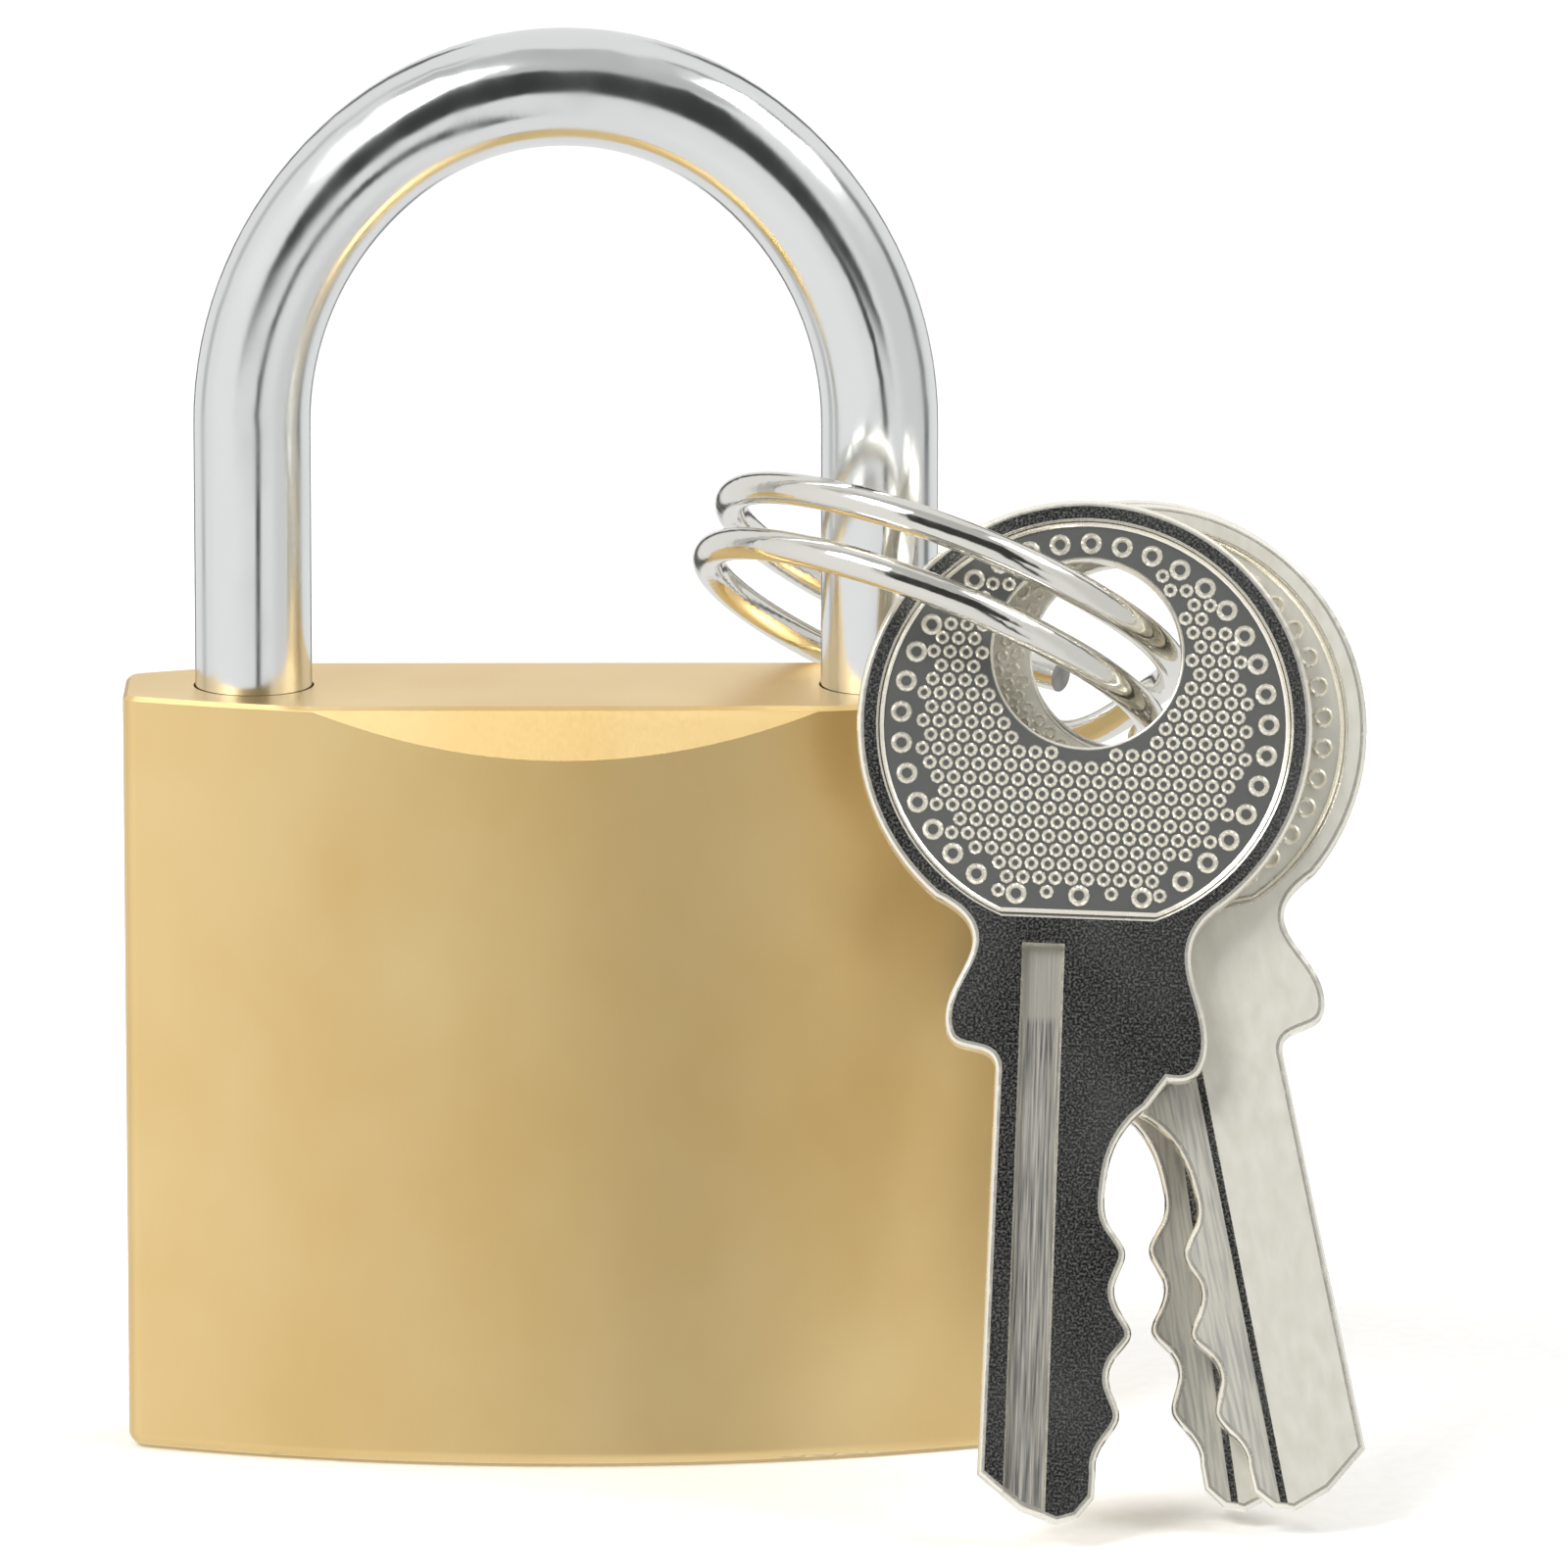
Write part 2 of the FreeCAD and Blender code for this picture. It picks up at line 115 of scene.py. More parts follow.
# What tells a key's faces and edges apart. A share is of the face's normal along one axis
FLAT_WITHIN = 1.0         # degrees between triangles of one flat
FRONT_OR_BACK = 0.9       # least share along Y of a face with a finish of its own
FLAT_Y = 0.99             # least share along Y of a flat beside an edge to round
WALL_Y = 0.1              # most share along Y of a wall beside one
SQUARE = 0.99999          # least share along X or Z of a wall that stands exactly square
LEVEL_SLACK = 0.03 * MM
BORDER_SLACK = 0.05 * MM

# Relief stamped in a field
BOW_LINE_R = 9.05 * MM
LINE_FOOT = FIELD_LOW + 0.25 * MM       # the straight part of the line
LINE_SIDES = 6
LINE_STEPS = 72
LARGE_RING = (0.36 * MM, 0.12 * MM, 0.13 * MM, 12)        # radius, half width, height, steps round
SMALL_RING = (0.23 * MM, 0.09 * MM, 0.09 * MM, 8)
RING_BED = 0.3            # how far a ring reaches into the floor, as a share of its height
LARGE_FOOT = FIELD_LOW + 1.0 * MM       # the straight row of large rings
LARGE_LOW = FIELD_LOW + 1.2 * MM        # the round row ends above this
SMALL_LOW = FIELD_LOW + 0.5 * MM        # the small rings end above this
SMALL_TO_LARGE = 0.75 * MM              # least distance between the centres of a small and a large ring
SMALL_TO_BORDER = 0.45 * MM             # and from a small ring's centre to the hole or the line


# ---------------------------------------------------------------- small tools

def linear(code):
    """Linear RGB of an sRGB hex colour."""
    parts = [int(code[i:i + 2], 16) / 255 for i in (0, 2, 4)]
    return tuple(c / 12.92 if c <= 0.04045 else ((c + 0.055) / 1.055) ** 2.4 for c in parts)


def rgba(colour):
    """Linear RGB with full alpha."""
    return (*colour, 1.0)


def feed(tree, node, inputs):
    """Gives a node its inputs: one that is a socket is linked, any other is its value."""
    for key, value in inputs.items():
        if isinstance(value, bpy.types.NodeSocket):
            tree.links.new(value, node.inputs[key])
        else:
            node.inputs[key].default_value = value


def add(tree, kind, inputs=None, **settings):
    """Adds a node with its settings, links and values."""
    made = tree.nodes.new(kind)
    for name, value in settings.items():
        setattr(made, name, value)
    feed(tree, made, inputs or {})
    return made


def new_material(name, colour, metallic, roughness):
    """Material with the shader's own values set, and its tree and shader."""
    material = bpy.data.materials.new(name)
    material.use_nodes = True
    tree = material.node_tree
    shader = tree.nodes["Principled BSDF"]
    feed(tree, shader, {"Base Color": rgba(colour), "Metallic": metallic, "Roughness": roughness})
    return material, tree, shader


def pattern(tree, size, uv=False, detail=2.0):
    """Noise whose grains measure size, in metres, along X, Y and Z, or in mm along a key's own face."""
    place = add(tree, "ShaderNodeTexCoord").outputs["UV" if uv else "Object"]
    spread = add(tree, "ShaderNodeMapping", {"Vector": place, "Scale": [1 / s for s in size]})
    return add(tree, "ShaderNodeTexNoise",
               {"Vector": spread.outputs[0], "Scale": 1.0, "Detail": detail}).outputs["Fac"]


def tinted(tree, value, first, second, low=0.3, high=0.7):
    """Colour that goes from first to second as the pattern goes from low to high."""
    share = add(tree, "ShaderNodeMapRange", {"Value": value, "From Min": low, "From Max": high})
    return add(tree, "ShaderNodeMix", {0: share.outputs[0], 6: rgba(first), 7: rgba(second)},
               data_type="RGBA").outputs[2]


# ---------------------------------------------------------------- finishes

NOISE_SPAN = {"From Min": 0.3, "From Max": 0.7}     # most of a pattern's values lie between these
FINE = 0.02 * MM                                    # depth of the finest relief


def lacquered_brass(finish):
    """Rolled brass, brushed upright and lacquered: a soft wide glow, with clouds of paler gold."""
    material, tree, shader = new_material("lacquered satin brass", finish.brass, 1.0, 0.3)
    # Real brush lines are nearer 0.05 mm wide, too fine to show, so they are drawn at 0.12 mm
    grain = pattern(tree, (0.12 * MM, 0.12 * MM, 1.6 * MM))
    cloud = pattern(tree, (9 * MM, 9 * MM, 12 * MM), detail=3.0)
    gloss = add(tree, "ShaderNodeMapRange", {"Value": grain, **NOISE_SPAN, "To Min": 0.36, "To Max": 0.41})
    relief = add(tree, "ShaderNodeBump", {"Height": grain, "Strength": 0.03, "Distance": FINE})
    feed(tree, shader, {"Base Color": tinted(tree, cloud, finish.brass_deep, finish.brass),
                        "Roughness": gloss.outputs[0], "Normal": relief.outputs[0],
                        "Coat Weight": 0.25, "Coat Roughness": 0.3})
    return material


def turned_brass(finish):
    """Turned brass, unlacquered: duller and browner, with rings left by the tool."""
    material, tree, shader = new_material("turned brass", finish.brass_deep, 1.0, 0.35)
    marks = pattern(tree, (2 * MM, 2 * MM, 0.15 * MM))
    gloss = add(tree, "ShaderNodeMapRange", {"Value": marks, **NOISE_SPAN, "To Min": 0.28, "To Max": 0.45})
    relief = add(tree, "ShaderNodeBump", {"Height": marks, "Strength": 0.15, "Distance": FINE})
    feed(tree, shader, {"Roughness": gloss.outputs[0], "Normal": relief.outputs[0]})
    return material


def plated_steel(finish):
    """Bright chromium plating on drawn rod: sharp reflections with faint draw lines along the rod."""
    material, tree, shader = new_material("chromium plated steel", finish.chrome, 1.0, 0.14)
    # Real draw lines are under 0.1 mm wide, too fine to show, so they are drawn at 0.2 mm
    draw = pattern(tree, (0.2 * MM, 0.2 * MM, 4 * MM))
    patch = pattern(tree, (3 * MM, 3 * MM, 5 * MM), detail=3.0)
    gloss = add(tree, "ShaderNodeMapRange", {"Value": patch, **NOISE_SPAN, "To Min": 0.10, "To Max": 0.24})
    relief = add(tree, "ShaderNodeBump", {"Height": draw, "Strength": 0.06, "Distance": FINE})
    feed(tree, shader, {"Roughness": gloss.outputs[0], "Normal": relief.outputs[0]})
    return material


def nickel_wire(finish):
    """Barrel-polished nickel on spring wire: nearly a mirror, faintly warm."""
    material, tree, shader = new_material("polished nickel wire", finish.nickel, 1.0, 0.10)
    rub = pattern(tree, (0.6 * MM, 0.6 * MM, 0.6 * MM))
    gloss = add(tree, "ShaderNodeMapRange", {"Value": rub, **NOISE_SPAN, "To Min": 0.07, "To Max": 0.16})
    feed(tree, shader, {"Roughness": gloss.outputs[0]})
    return material


def spring_steel(finish):
    """Drawn and tempered steel: grey, with a dull shine."""
    material, tree, shader = new_material("drawn spring steel", finish.steel, 1.0, 0.3)
    draw = pattern(tree, (0.1 * MM, 0.1 * MM, 0.8 * MM))
    gloss = add(tree, "ShaderNodeMapRange", {"Value": draw, **NOISE_SPAN, "To Min": 0.24, "To Max": 0.42})
    feed(tree, shader, {"Roughness": gloss.outputs[0]})
    return material


def speckled_nickel(finish):
    """Grooved face of a key: its dark base colour is a painted dark reflection, with random grey tone and
    fine bright specks.
    """
    # Painted reflection: the dark base colour stands for dark surroundings reflected in the face
    material, tree, shader = new_material("stamped nickel plate with painted dark reflection", finish.key_painted_dark, 1.0, 0.34)
    specks = pattern(tree, (0.11, 0.11, 1.0), uv=True)
    shade = pattern(tree, (7.0, 9.0, 1.0), uv=True)
    base = tinted(tree, shade, finish.key_painted_dark, finish.key_grey, 0.35, 0.75)
    share = add(tree, "ShaderNodeMapRange", {"Value": specks, "From Min": 0.44, "From Max": 0.74,
                                             "To Max": 0.75})
    colour = add(tree, "ShaderNodeMix", {0: share.outputs[0], 6: base, 7: rgba(finish.nickel)},
                 data_type="RGBA")
    relief = add(tree, "ShaderNodeBump", {"Height": specks, "Strength": 0.25, "Distance": FINE})
    feed(tree, shader, {"Base Color": colour.outputs[2], "Normal": relief.outputs[0]})
    return material


def pale_nickel(finish):
    """Tumbled nickel plate: so fine a grain that it is pale and even, with faint soft marks."""
    material, tree, shader = new_material("tumbled nickel plate", finish.key_pale, 0.4, 0.4)
    marks = pattern(tree, (0.5, 1.2, 1.0), uv=True, detail=3.0)
    gloss = add(tree, "ShaderNodeMapRange", {"Value": marks, **NOISE_SPAN, "To Min": 0.38, "To Max": 0.44})
    relief = add(tree, "ShaderNodeBump", {"Height": marks, "Strength": 0.05, "Distance": FINE})
    feed(tree, shader, {"Base Color": tinted(tree, marks, finish.key_pale, finish.nickel, 0.35, 1.2),
                        "Roughness": gloss.outputs[0], "Normal": relief.outputs[0]})
    return material


def rim_nickel(finish):
    """Rounded edges polished by the barrel: the brightest lines on a key."""
    material, tree, shader = new_material("barrel polished nickel edge", finish.key_rim, 0.75, 0.22)
    wear = pattern(tree, (0.5, 0.5, 1.0), uv=True)
    gloss = add(tree, "ShaderNodeMapRange", {"Value": wear, **NOISE_SPAN, "To Min": 0.16, "To Max": 0.3})
    feed(tree, shader, {"Roughness": gloss.outputs[0]})
    return material


def milled_groove(finish):
    """Floor of a milled groove: grey, with cutter marks that run the length of the blade."""
    material, tree, shader = new_material("milled nickel silver", finish.groove, 0.8, 0.38)
    marks = pattern(tree, (0.10, 4.0, 1.0), uv=True, detail=3.0)
    streaks = tinted(tree, marks, finish.key_grey, finish.key_rim, 0.32, 0.66)
    place = add(tree, "ShaderNodeSeparateXYZ", {0: add(tree, "ShaderNodeTexCoord").outputs["UV"]})
    paler = add(tree, "ShaderNodeMapRange", {"Value": place.outputs[1], "From Min": RUN_OUT[0],
                                             "From Max": RUN_OUT[1], "To Max": 0.9})
    colour = add(tree, "ShaderNodeMix", {0: paler.outputs[0], 6: streaks, 7: rgba(finish.key_pale)},
                 data_type="RGBA")
    relief = add(tree, "ShaderNodeBump", {"Height": marks, "Strength": 0.35, "Distance": 2 * FINE})
    feed(tree, shader, {"Base Color": colour.outputs[2], "Normal": relief.outputs[0]})
    return material


def milled_rebate(finish):
    """Floor of the rebate: pale, with darker cutter marks along the blade."""
    material, tree, shader = new_material("milled and tumbled nickel silver", finish.key_pale, 0.5, 0.4)
    marks = pattern(tree, (0.16, 3.0, 1.0), uv=True, detail=3.0)
    relief = add(tree, "ShaderNodeBump", {"Height": marks, "Strength": 0.2, "Distance": 1.5 * FINE})
    feed(tree, shader, {"Base Color": tinted(tree, marks, finish.groove, finish.key_pale, 0.34, 0.56),
                        "Normal": relief.outputs[0]})
    return material


def sunk_field(finish):
    """Floor between the stamped rings: matt grey."""
    material, tree, shader = new_material("matt stamped nickel", finish.field, 0.8, 0.42)
    grit = pattern(tree, (0.16, 0.16, 1.0), uv=True)
    relief = add(tree, "ShaderNodeBump", {"Height": grit, "Strength": 0.3, "Distance": FINE})
    feed(tree, shader, {"Base Color": tinted(tree, grit, finish.key_grey, finish.field),
                        "Normal": relief.outputs[0]})
    return material


# ---------------------------------------------------------------- pieces

def finish_piece(bm, name, materials, node):
    """Makes bm an object that shades smooth over gentle edges and stands for a CAD node."""
    for face in bm.faces:
        face.smooth = True
    for edge in bm.edges:
        edge.smooth = edge.calc_face_angle(0.0) < math.radians(SMOOTH_BELOW)
    mesh = bpy.data.meshes.new(name)
    bm.to_mesh(mesh)
    bm.free()
    for material in materials:
        mesh.materials.append(material)
    piece = bpy.data.objects.new(name, mesh)
    bpy.context.scene.collection.objects.link(piece)
    normals = piece.modifiers.new("even shading", "WEIGHTED_NORMAL")
    normals.mode = "FACE_AREA"
    normals.weight = 100
    normals.keep_sharp = True
    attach(piece, frame["nodes"][node]["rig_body"])
    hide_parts(node)
    return piece


def joined_copy(node):
    """A CAD node's shape with its loose triangles joined."""
    bm = bmesh.new()
    bm.from_mesh(frame["nodes"][node].data)
    bmesh.ops.remove_doubles(bm, verts=bm.verts, dist=MERGE)
    for face in bm.faces:
        face.material_index = 0
    return bm


def coat(nodes, material):
    """Gives CAD nodes that keep their own shape a finish."""
    for node in nodes:
        piece = frame["nodes"][node]
        if not piece.material_slots:
            piece.data.materials.append(material)
        for slot in piece.material_slots:
            slot.material = material


def numbered(*stems):
    """Names of the CAD nodes that every pin stack has one of."""
    return ["%s_%d" % (stem, i) for stem in stems for i in PIN_STACKS]


def open_flats(bm, level):
    """Joins flat faces, with one straight cut across each so that none has a hole."""
    made = bmesh.ops.bisect_plane(bm, geom=bm.verts[:] + bm.edges[:] + bm.faces[:], dist=MERGE,
                                  plane_co=(0, 0, level), plane_no=(0, 0, 1))
    for edge in (part for part in made["geom_cut"] if isinstance(part, bmesh.types.BMEdge)):
        edge.seam = True
    bmesh.ops.dissolve_limit(bm, angle_limit=math.radians(FLAT_WITHIN), verts=bm.verts, edges=bm.edges,
                             delimit={"SEAM"})
    bmesh.ops.dissolve_verts(bm, verts=[v for v in bm.verts if len(v.link_edges) == 2])
    bm.normal_update()


def key_matrix(node):
    """Place of a key, from its own frame to the lock's."""
    centre, tilt, turned = KEY_PLACES[node]
    place = Matrix.Translation(Vector(centre) * MM)
    place @= Matrix.Rotation(math.radians(-KEY_LEAN), 4, "X")
    place @= Matrix.Rotation(math.radians(-tilt), 4, "Y")
    return place @ Matrix.Rotation(math.pi if turned else 0.0, 4, "Z")


def is_step(wall):
    """True for the wall of a groove or rebate: it stands exactly square, as no wall of the outline does."""
    square = max(abs(wall.normal.x), abs(wall.normal.z)) > SQUARE
    return square and all(v.co.z < FIELD_LOW for v in wall.verts)


def in_hole(edge):
    """True on the rim of the hole in the bow."""
    return all(math.hypot(v.co.x, v.co.z - HOLE_UP) < HOLE_R + BORDER_SLACK for v in edge.verts)


def at_field(edge):
    """True on the border of a sunk field, which a step leads down to all the way round."""
    return all(math.hypot(v.co.x, v.co.z) < FIELD_R + BORDER_SLACK and v.co.z > FIELD_LOW - BORDER_SLACK
               for v in edge.verts)


def edge_place(edge, wall):
    """Which of a key's borders an edge between a flat and a wall lies on."""
    if in_hole(edge):
        return "hole"
    if at_field(edge):
        return "field"
    return "step" if is_step(wall) else "outline"


def corner_edges(bm, place):
    """Edges between a flat and a wall, at the hole, at the border of a field, or round the outline."""
    found = []
    for edge in bm.edges:
        flats = [f for f in edge.link_faces if abs(f.normal.y) > FLAT_Y]
        walls = [f for f in edge.link_faces if abs(f.normal.y) < WALL_Y]
        if len(flats) == 1 and len(walls) == 1 and edge_place(edge, walls[0]) == place:
            found.append(edge)
    return found


def face_finish(face):
    """Finish of one face of a key by the level it lies at."""
    if abs(face.normal.y) < FRONT_OR_BACK:
        return RIM
    y = face.calc_center_median().y
    for finish, level in ((FIELD, FIELD_DEPTH - KEY_HALF), (GROOVE, -GROOVE_FLOOR), (REBATE, REBATE_FLOOR)):
        if abs(y - level) < LEVEL_SLACK:
            return finish
    return SPECKLED if face.normal.y < 0 else PALE


def round_edges(bm, edges, width, segments):
    """Rounds edges and gives the rounding the bright edge's finish."""
    made = bmesh.ops.bevel(bm, geom=edges, offset=width, offset_type="OFFSET", segments=segments,
                           profile=0.5, affect="EDGES", material=-1, clamp_overlap=False)
    for face in made["faces"]:
        face.material_index = RIM
    bm.normal_update()


def stamped_ring(radius, wide, rise, steps):
    """One small raised ring with its axis along Y, standing towards -Y."""
    bm = bmesh.new()
    section = [(radius - wide, 0.0), (radius, -rise), (radius + wide, 0.0), (radius, RING_BED * rise)]
    corners = [bm.verts.new((x, y, 0.0)) for x, y in section]
    edges = [bm.edges.new((corners[i], corners[i - 1])) for i in range(len(corners))]
    bmesh.ops.spin(bm, geom=corners + edges, cent=(0, 0, 0), axis=(0, 1, 0), angle=2 * math.pi,
                   steps=steps, use_merge=True)
    bmesh.ops.recalc_face_normals(bm, faces=bm.faces)
    for face in bm.faces:
        face.material_index = RIM
    mesh = bpy.data.meshes.new("stamped_ring")
    bm.to_mesh(mesh)
    bm.free()
    return mesh


def large_ring_places(keys):
    """Centres of the large rings: one row round the field and one along its lower border."""
    places = []
    count = round(2 * math.pi * keys.row_radius / keys.large_pitch)
    for i in range(count):
        turn = 2 * math.pi * i / count
        x, z = keys.row_radius * math.sin(turn), keys.row_radius * math.cos(turn)
        if z > LARGE_LOW:
            places.append((x, z))
    for i in (-1, 0, 1):
        places.append((2 * i * keys.large_pitch, LARGE_FOOT))
    return places


def small_ring_places(keys, large):
    """Centres of the small rings: a close-packed grid where no large ring stands."""
    places = []
    pitch = keys.small_pitch
    row_pitch = pitch * math.sin(math.pi / 3)
    rows, columns = int(FIELD_R / row_pitch), int(FIELD_R / pitch)
    for row in range(-rows, rows + 1):
        z = row * row_pitch
        for column in range(-columns, columns + 1):
            x = (column + 0.5 * (row % 2)) * pitch
            clear = all(math.hypot(x - a, z - b) > SMALL_TO_LARGE for a, b in large)
            in_field = math.hypot(x, z) < BOW_LINE_R - SMALL_TO_BORDER and z > SMALL_LOW
            if clear and in_field and math.hypot(x, z - HOLE_UP) > HOLE_R + SMALL_TO_BORDER:
                places.append((x, z))
    return places


def stamp(bm, ring, places, side):
    """Sets copies of a ring on the floor of the field, on the grooved side (-1) or the other (1)."""
    turn = Matrix.Rotation(math.pi if side > 0 else 0.0, 4, "Z")
    level = side * (KEY_HALF - FIELD_DEPTH)
    for x, z in places:
        before = len(bm.verts)
        bm.from_mesh(ring)
        bm.verts.ensure_lookup_table()
        bmesh.ops.transform(bm, matrix=Matrix.Translation((x, level, z)) @ turn, verts=bm.verts[before:])


def border_line(bm, keys, side):
    """Raised line round the field, closed by a straight one at its foot."""
    level = side * (KEY_HALF - FIELD_DEPTH)
    half_foot = math.sqrt(BOW_LINE_R ** 2 - LINE_FOOT ** 2)
    start = math.atan2(LINE_FOOT, half_foot)
    made = bmesh.ops.create_circle(bm, cap_ends=False, radius=keys.line_half, segments=LINE_SIDES,
                                   matrix=Matrix.Translation((BOW_LINE_R, level, 0)))
    verts = made["verts"]
    bmesh.ops.rotate(bm, verts=verts, cent=(0, 0, 0), matrix=Matrix.Rotation(-start, 3, "Y"))
    edges = list({e for v in verts for e in v.link_edges})
    bmesh.ops.spin(bm, geom=verts + edges, cent=(0, 0, 0), axis=(0, -1, 0),
                   angle=math.pi - 2 * start, steps=LINE_STEPS, use_merge=False)
    bar = Matrix.Translation((0, level, LINE_FOOT)) @ Matrix.Rotation(math.pi / 2, 4, "Y")
    bmesh.ops.create_cone(bm, cap_ends=True, segments=LINE_SIDES, radius1=keys.line_half,
                          radius2=keys.line_half, depth=2 * half_foot, matrix=bar)


def stamped_relief(keys):
    """Everything raised on a key's two fields, in the key's own frame."""
    bm = bmesh.new()
    large = large_ring_places(keys)
    small = small_ring_places(keys, large)
    large_ring, small_ring = stamped_ring(*LARGE_RING), stamped_ring(*SMALL_RING)
    for side in (-1, 1):
        stamp(bm, large_ring, large, side)
        stamp(bm, small_ring, small, side)
    for side in (-1, 1):
        border_line(bm, keys, side)
    bmesh.ops.holes_fill(bm, edges=[e for e in bm.edges if e.is_boundary], sides=LINE_SIDES)
    bmesh.ops.recalc_face_normals(bm, faces=bm.faces)
    for face in bm.faces:
        face.material_index = RIM
    mesh = bpy.data.meshes.new("stamped_relief")
    bm.to_mesh(mesh)
    bm.free()
    for ring in (large_ring, small_ring):
        bpy.data.meshes.remove(ring)
    return mesh


def lay_face_map(bm):
    """Writes each corner's place on the key's own face, in millimetres, as its UV."""
    layer = bm.loops.layers.uv.new("key_face")
    for face in bm.faces:
        for loop in face.loops:
            loop[layer].uv = (loop.vert.co.x / MM, loop.vert.co.z / MM)


def painted_shade_along_rebate(bm, keys):
    """Painted shade: a dark strip on the rebate's floor beside its step, in the grooved face's dark finish.
    """
    floors = [face for face in bm.faces if face.material_index == REBATE]
    edges = list({edge for face in floors for edge in face.edges})
    verts = list({vert for face in floors for vert in face.verts})
    shade_end = REBATE_U + keys.rebate_shade_width
    bmesh.ops.bisect_plane(bm, geom=verts + edges + floors, dist=MERGE, plane_co=(shade_end, 0, 0),
                           plane_no=(1, 0, 0))
    for face in bm.faces:
        # the strip nearest the step takes the dark finish as painted shade
        if face.material_index == REBATE and face.calc_center_median().x < shade_end:
            face.material_index = SPECKLED


def make_key(node, keys, relief, materials):
    """One key: rounded outline, crisp steps, sunk fields with stamped rings on both sides."""
    bm = joined_copy(node)
    place = key_matrix(node)
    bmesh.ops.transform(bm, matrix=place.inverted(), verts=bm.verts)
    open_flats(bm, HOLE_UP)
    for face in bm.faces:
        face.material_index = face_finish(face)
    for border, width, segments in (("field", keys.step_rim, 2), ("hole", keys.hole_rim, 2),
                                    ("outline", keys.rim, 3)):
        round_edges(bm, corner_edges(bm, border), width, segments)
    # Painted highlight: a bright strip on the groove's floor along its walls, in the edges' bright finish,
    # stands for the lit edge of the step
    floors = [face for face in bm.faces if face.material_index == GROOVE]
    line = bmesh.ops.inset_region(bm, faces=floors, thickness=keys.groove_highlight_width, use_even_offset=True,
                                  use_boundary=True)
    for face in line["faces"]:
        face.material_index = RIM
    # Painted shade along the rebate's step
    painted_shade_along_rebate(bm, keys)
    bm.from_mesh(relief)
    lay_face_map(bm)
    bmesh.ops.transform(bm, matrix=place, verts=bm.verts)
    return finish_piece(bm, "stamped_" + node, materials, node)


# ---------------------------------------------------------------- studio

# Reflected studio: azimuth from the front, elevation, half widths, softness in degrees, and level
STUDIO_PATCHES = (
    (80, -14, 36, 40, 24, 0.90),      # greyer floor on the right
    (-50, -10, 34, 40, 20, 1.14),     # bright wall on the left
    (11, -14, 4.5, 34, 4, 0.05),      # narrow dark stand beside the viewer
    (0, 20, 34, 23, 8, 0.06),         # dark room behind the viewer
    (162, 0, 5, 34, 5, 0.12),         # narrow dark stands behind
    (-160, 0, 5, 34, 5, 0.12),
    (105, 10, 7, 60, 6, 0.25),        # dark flags at the sides
    (-112, 10, 6, 60, 6, 0.7),
    (0, 70, 95, 27, 8, 0.68),         # ceiling
)
STUDIO_LEVEL = 1.08

# Softboxes: name, place, width in metres and power in watts
SOFTBOXES = (
    ("upper left softbox", (-0.5, -0.5, 0.75), 0.45, 7.0),
    ("upper right softbox", (0.6, -0.1, 0.7), 0.4, 4.0),
)
SOFTBOX_AIM = (0, 0, 0.03)
FLOOR_GAP = 0.1 * MM      # keeps the floor clear of the case's bottom face
PAPER, PAPER_DARK, PAPER_LIGHT = linear("FCFCFB"), linear("FAFAF8"), linear("FEFEFD")


def reach(tree, value, centre, half, soft):
    """Share from 0 to 1 of being within half of centre, in degrees."""
    rad = math.radians
    off = add(tree, "ShaderNodeMath", {0: value, 1: rad(centre)}, operation="SUBTRACT").outputs[0]
    size = add(tree, "ShaderNodeMath", {0: off}, operation="ABSOLUTE").outputs[0]
    return add(tree, "ShaderNodeMapRange", {"Value": size, "From Min": rad(half - soft / 2),
                                            "From Max": rad(half + soft / 2), "To Min": 1.0,
                                            "To Max": 0.0},
               interpolation_type="SMOOTHSTEP").outputs["Result"]


def studio_world(stage):
    """White surroundings to the eye, with a shaped studio in the reflections."""
    world = bpy.data.worlds.new("studio")
    bpy.context.scene.world = world
    world.use_nodes = True
    tree = world.node_tree
    tree.nodes.clear()
    way = add(tree, "ShaderNodeTexCoord").outputs["Generated"]
    split = add(tree, "ShaderNodeSeparateXYZ", {0: way})
    ahead = add(tree, "ShaderNodeMath", {0: split.outputs[1], 1: -1.0}, operation="MULTIPLY").outputs[0]
    azimuth = add(tree, "ShaderNodeMath", {0: split.outputs[0], 1: ahead}, operation="ARCTAN2").outputs[0]
    elevation = add(tree, "ShaderNodeMath", {0: split.outputs[2]}, operation="ARCSINE").outputs[0]
    level = STUDIO_LEVEL
    for az, el, half_az, half_el, soft, value in STUDIO_PATCHES:
        across = reach(tree, azimuth, az, half_az, soft)
        up = reach(tree, elevation, el, half_el, soft)
        share = add(tree, "ShaderNodeMath", {0: across, 1: up}, operation="MULTIPLY").outputs[0]
        level = add(tree, "ShaderNodeMix", {0: share, 2: level, 3: value}).outputs[0]
    to_eye = add(tree, "ShaderNodeLightPath").outputs["Is Camera Ray"]
    shown = add(tree, "ShaderNodeMix", {0: to_eye, 2: level, 3: stage.white}).outputs[0]
    background = add(tree, "ShaderNodeBackground", {"Strength": shown})
    add(tree, "ShaderNodeOutputWorld", {"Surface": background.outputs[0]})


def softbox(name, place, size, power):
    """Large soft light, seen only by what it lights."""
    light = bpy.data.lights.new(name, "AREA")
    light.shape = "SQUARE"
    light.size = size
    light.energy = power
    lamp = bpy.data.objects.new(name, light)
    lamp.location = place
    lamp.rotation_euler = (Vector(SOFTBOX_AIM) - Vector(place)).to_track_quat("-Z", "Y").to_euler()
    lamp.visible_camera = False
    bpy.context.scene.collection.objects.link(lamp)


